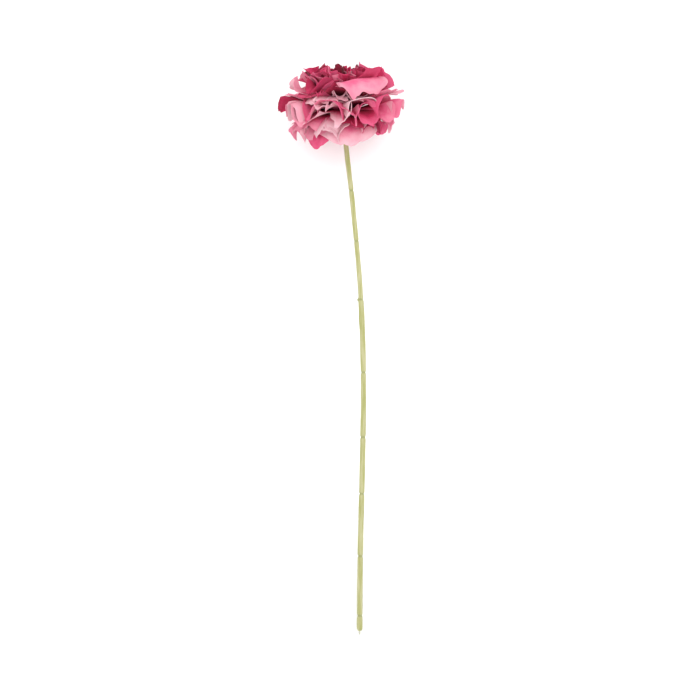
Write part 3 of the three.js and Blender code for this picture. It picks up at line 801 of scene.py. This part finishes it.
# %% The mottle
DRAWN_OUT = (1, 0.05, 1)
GRAIN_SCALE = 900.0
mottle, mottle_in, mottle_out = new_group(
    "surface_mottle", [
        ("Light", "NodeSocketColor", (0.6, 0.6, 0.3, 1)),
        ("Dark", "NodeSocketColor", (0.4, 0.4, 0.2, 1)),
        ("Scale", "NodeSocketFloat", 60.0),
        ("Smooth", "NodeSocketFloat", 0.3),
        ("Rough", "NodeSocketFloat", 0.5),
    ],
    [("Colour", "NodeSocketColor"), ("Roughness", "NodeSocketFloat"), ("Height", "NodeSocketFloat")])
place = mottle.nodes.new("ShaderNodeTexCoord").outputs["Object"]
drawn_out = mottle.nodes.new("ShaderNodeVectorMath")
drawn_out.operation = "MULTIPLY"
drawn_out.inputs[1].default_value = DRAWN_OUT
clouds = mottle.nodes.new("ShaderNodeTexNoise")
clouds.inputs["Detail"].default_value = 4.0
mottle.links.new(place, drawn_out.inputs[0])
mottle.links.new(drawn_out.outputs["Vector"], clouds.inputs["Vector"])
mottle.links.new(mottle_in.outputs["Scale"], clouds.inputs["Scale"])
tone = map_range(mottle, clouds.outputs["Fac"], 0.3, 0.7)
colour = mix_colour(mottle, tone, mottle_in.outputs["Dark"], mottle_in.outputs["Light"])
gap = math_node(mottle, "SUBTRACT", mottle_in.outputs["Rough"], mottle_in.outputs["Smooth"])
roughness = math_node(mottle, "MULTIPLY_ADD", tone, gap, mottle_in.outputs["Smooth"])
mottle.links.new(colour, mottle_out.inputs["Colour"])
mottle.links.new(roughness, mottle_out.inputs["Roughness"])
mottle.links.new(noise_node(mottle, place, GRAIN_SCALE, 2.0), mottle_out.inputs["Height"])
print("mottle group:", len(mottle.nodes), "nodes")


# %% [markdown]
# Fabric this thin lets a little light through, so a petal's material is mostly a matte surface with a small
# share of translucency. The faces keep the full dye and the undersides are paler. With both materials there,
# each layer's thickness is applied, its folds are smoothed and its gathered ring is added.

# %% Petal materials
THREADS_PER_PETAL = 85.0
LIGHT_THROUGH = 0.12
CREASED_BEYOND = math.radians(60)


def plain_material(name):
    material = bpy.data.materials.new(name)
    material.use_nodes = True
    tree = material.node_tree
    return material, tree, tree.nodes["Principled BSDF"]


def add_group(tree, group, **values):
    node = tree.nodes.new("ShaderNodeGroup")
    node.node_tree = group
    for label, value in values.items():
        node.inputs[label].default_value = value
    return node


def add_bump(tree, height, strength, distance):
    bump = tree.nodes.new("ShaderNodeBump")
    bump.inputs["Strength"].default_value = strength
    bump.inputs["Distance"].default_value = distance
    tree.links.new(height, bump.inputs["Height"])
    return bump.outputs["Normal"]


def petal_material(name, deepen, root):
    material, tree, surface = plain_material(name)
    colour = add_group(tree, dye, Deepen=deepen, Root=root).outputs["Colour"]
    threads = add_group(tree, weave, Threads=THREADS_PER_PETAL)
    normal = add_bump(tree, threads.outputs["Height"], strength=0.3, distance=0.1 * MM)
    tree.links.new(colour, surface.inputs["Base Color"])
    tree.links.new(threads.outputs["Roughness"], surface.inputs["Roughness"])
    tree.links.new(normal, surface.inputs["Normal"])
    through = tree.nodes.new("ShaderNodeBsdfTranslucent")
    tree.links.new(colour, through.inputs["Color"])
    mixed = tree.nodes.new("ShaderNodeMixShader")
    mixed.inputs["Fac"].default_value = LIGHT_THROUGH
    tree.links.new(surface.outputs["BSDF"], mixed.inputs[1])
    tree.links.new(through.outputs["BSDF"], mixed.inputs[2])
    tree.links.new(mixed.outputs["Shader"], tree.nodes["Material Output"].inputs["Surface"])
    return material


# Root sets how deep the roots go, partly dye and partly shade painted between the petals.
petal_face = petal_material("petal_face", deepen=0.15, root=0.75)
petal_back = petal_material("petal_back", deepen=-0.04, root=0.6)
level_of = {layer["name"]: layer["level"] for layer in LAYERS}
for name, piece in layers.items():
    piece.data.materials.append(petal_face)
    piece.data.materials.append(petal_back)
    pick_only(piece)
    bpy.ops.object.modifier_apply(modifier="cloth")
    bpy.ops.object.shade_smooth_by_angle(angle=CREASED_BEYOND)
    gather_ring(piece, level_of[name])
    finish_piece(piece, ["petals_" + name])

# %% [markdown]
# The stem's plastic is a pale yellow-green with a low gloss and a little depth, with shade painted darker
# into the creases of its joints. The wire is drawn steel. The cap, out of sight, is moulded in the same plastic
# as the stem.

# %% Plastic and steel
# Painted shade: the joints' creases are mixed towards this darker green.
PAINTED_CREASE_SHADE, CREASE_SHADE_SHARE = linear(126, 132, 78), 0.7
EDGED_BEYOND = math.radians(40)
plastic, tree, surface = plain_material("stem_plastic")
tone = add_group(tree, mottle, Light=linear(180, 177, 134), Dark=linear(153, 154, 88), Scale=900.0,
                 Smooth=0.34, Rough=0.5)
joint_shade_attribute = tree.nodes.new("ShaderNodeAttribute")
joint_shade_attribute.attribute_name = "joint_shade_mask"
joint_shade_mix = tree.nodes.new("ShaderNodeMix")
joint_shade_mix.data_type = "RGBA"
joint_shade_mix.inputs["B"].default_value = PAINTED_CREASE_SHADE
tree.links.new(math_node(tree, "MULTIPLY", joint_shade_attribute.outputs["Fac"], CREASE_SHADE_SHARE), joint_shade_mix.inputs["Factor"])
tree.links.new(tone.outputs["Colour"], joint_shade_mix.inputs["A"])
tree.links.new(joint_shade_mix.outputs["Result"], surface.inputs["Base Color"])
tree.links.new(tone.outputs["Roughness"], surface.inputs["Roughness"])
grain = add_bump(tree, tone.outputs["Height"], strength=0.15, distance=0.05 * MM)
tree.links.new(grain, surface.inputs["Normal"])
surface.inputs["Subsurface Weight"].default_value = 0.15
surface.inputs["Subsurface Radius"].default_value = (0.001, 0.001, 0.0005)
sleeve.data.materials.append(plastic)
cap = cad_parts["retaining_cap"]
cap.data.materials.clear()
cap.data.materials.append(plastic)

steel, tree, surface = plain_material("wire_steel")
tone = add_group(tree, mottle, Light=linear(222, 222, 206), Dark=linear(190, 192, 174), Scale=2000.0,
                 Smooth=0.3, Rough=0.5)
tree.links.new(tone.outputs["Colour"], surface.inputs["Base Color"])
tree.links.new(tone.outputs["Roughness"], surface.inputs["Roughness"])
surface.inputs["Metallic"].default_value = 1.0
wire.data.materials.append(steel)
for piece in (sleeve, wire):
    pick_only(piece)
    bpy.ops.object.shade_smooth_by_angle(angle=EDGED_BEYOND)
print("materials:", len(bpy.data.materials))

# %% [markdown]
# ## Floor, light and camera
#
# The flower lies on a plain white table. The floor is only a stage for it and no part of the object.

# %% Floor
start_clean()
bpy.ops.mesh.primitive_plane_add(size=6)
floor = bpy.context.object
floor.name = "table_top"
white, tree, surface = plain_material("white_table")
surface.inputs["Base Color"].default_value = (0.96, 0.96, 0.96, 1)
surface.inputs["Roughness"].default_value = 0.9
floor.data.materials.append(white)
print("floor:", floor.name)

# %% [markdown]
# An even white surround gives most of the light. One broad soft lamp, high over the table beyond the bloom
# and a little to its right, adds soft shading between the petals. Places are given in the flower's own frame.

# %% Light
SURROUND_STRENGTH = 1.2
LAMP_SIZE, LAMP_POWER = 1.2, 3.5
LAMP_PLACE, LAMP_AIM = (80, 480, 600), (0, 240, 0)
world = bpy.data.worlds.new("white_surround")
bpy.context.scene.world = world
world.use_nodes = True
world.node_tree.nodes["Background"].inputs["Color"].default_value = (1, 1, 1, 1)
world.node_tree.nodes["Background"].inputs["Strength"].default_value = SURROUND_STRENGTH


def in_flower(x, y, z):
    return Vector(to_world([x, y, z]))


lamp_data = bpy.data.lights.new("broad_light", "AREA")
lamp_data.size = LAMP_SIZE
lamp_data.energy = LAMP_POWER
lamp = bpy.data.objects.new("broad_light", lamp_data)
bpy.context.collection.objects.link(lamp)
lamp.location = in_flower(*LAMP_PLACE)
lamp.rotation_euler = (in_flower(*LAMP_AIM) - lamp.location).to_track_quat("-Z", "Y").to_euler()
print("lamp at", [round(value, 3) for value in lamp.location])

# %% [markdown]
# The camera stands over the flower, square to its stem, so the lying flower shows as if it stood. From more
# than a metre away the view is nearly flat, and the lens is chosen so that it takes in the whole stem.

# %% Camera
WIDTH_SEEN, DISTANCE = 367.5, 1200.0
ACROSS, UP_THE_STEM = -5.25, 149.4
SENSOR_WIDTH = 36
camera_data = bpy.data.cameras.new("over_the_flower")
camera_data.sensor_width = SENSOR_WIDTH
camera_data.lens = SENSOR_WIDTH * DISTANCE / WIDTH_SEEN
camera = bpy.data.objects.new("over_the_flower", camera_data)
bpy.context.collection.objects.link(camera)
camera.location = in_flower(ACROSS, UP_THE_STEM, DISTANCE)
camera.rotation_euler = (TILT, 0, 0)
bpy.context.scene.camera = camera
bpy.context.scene.view_settings.view_transform = "Standard"
bpy.context.scene.cycles.use_denoising = True
print("lens: %.1f mm" % camera_data.lens)
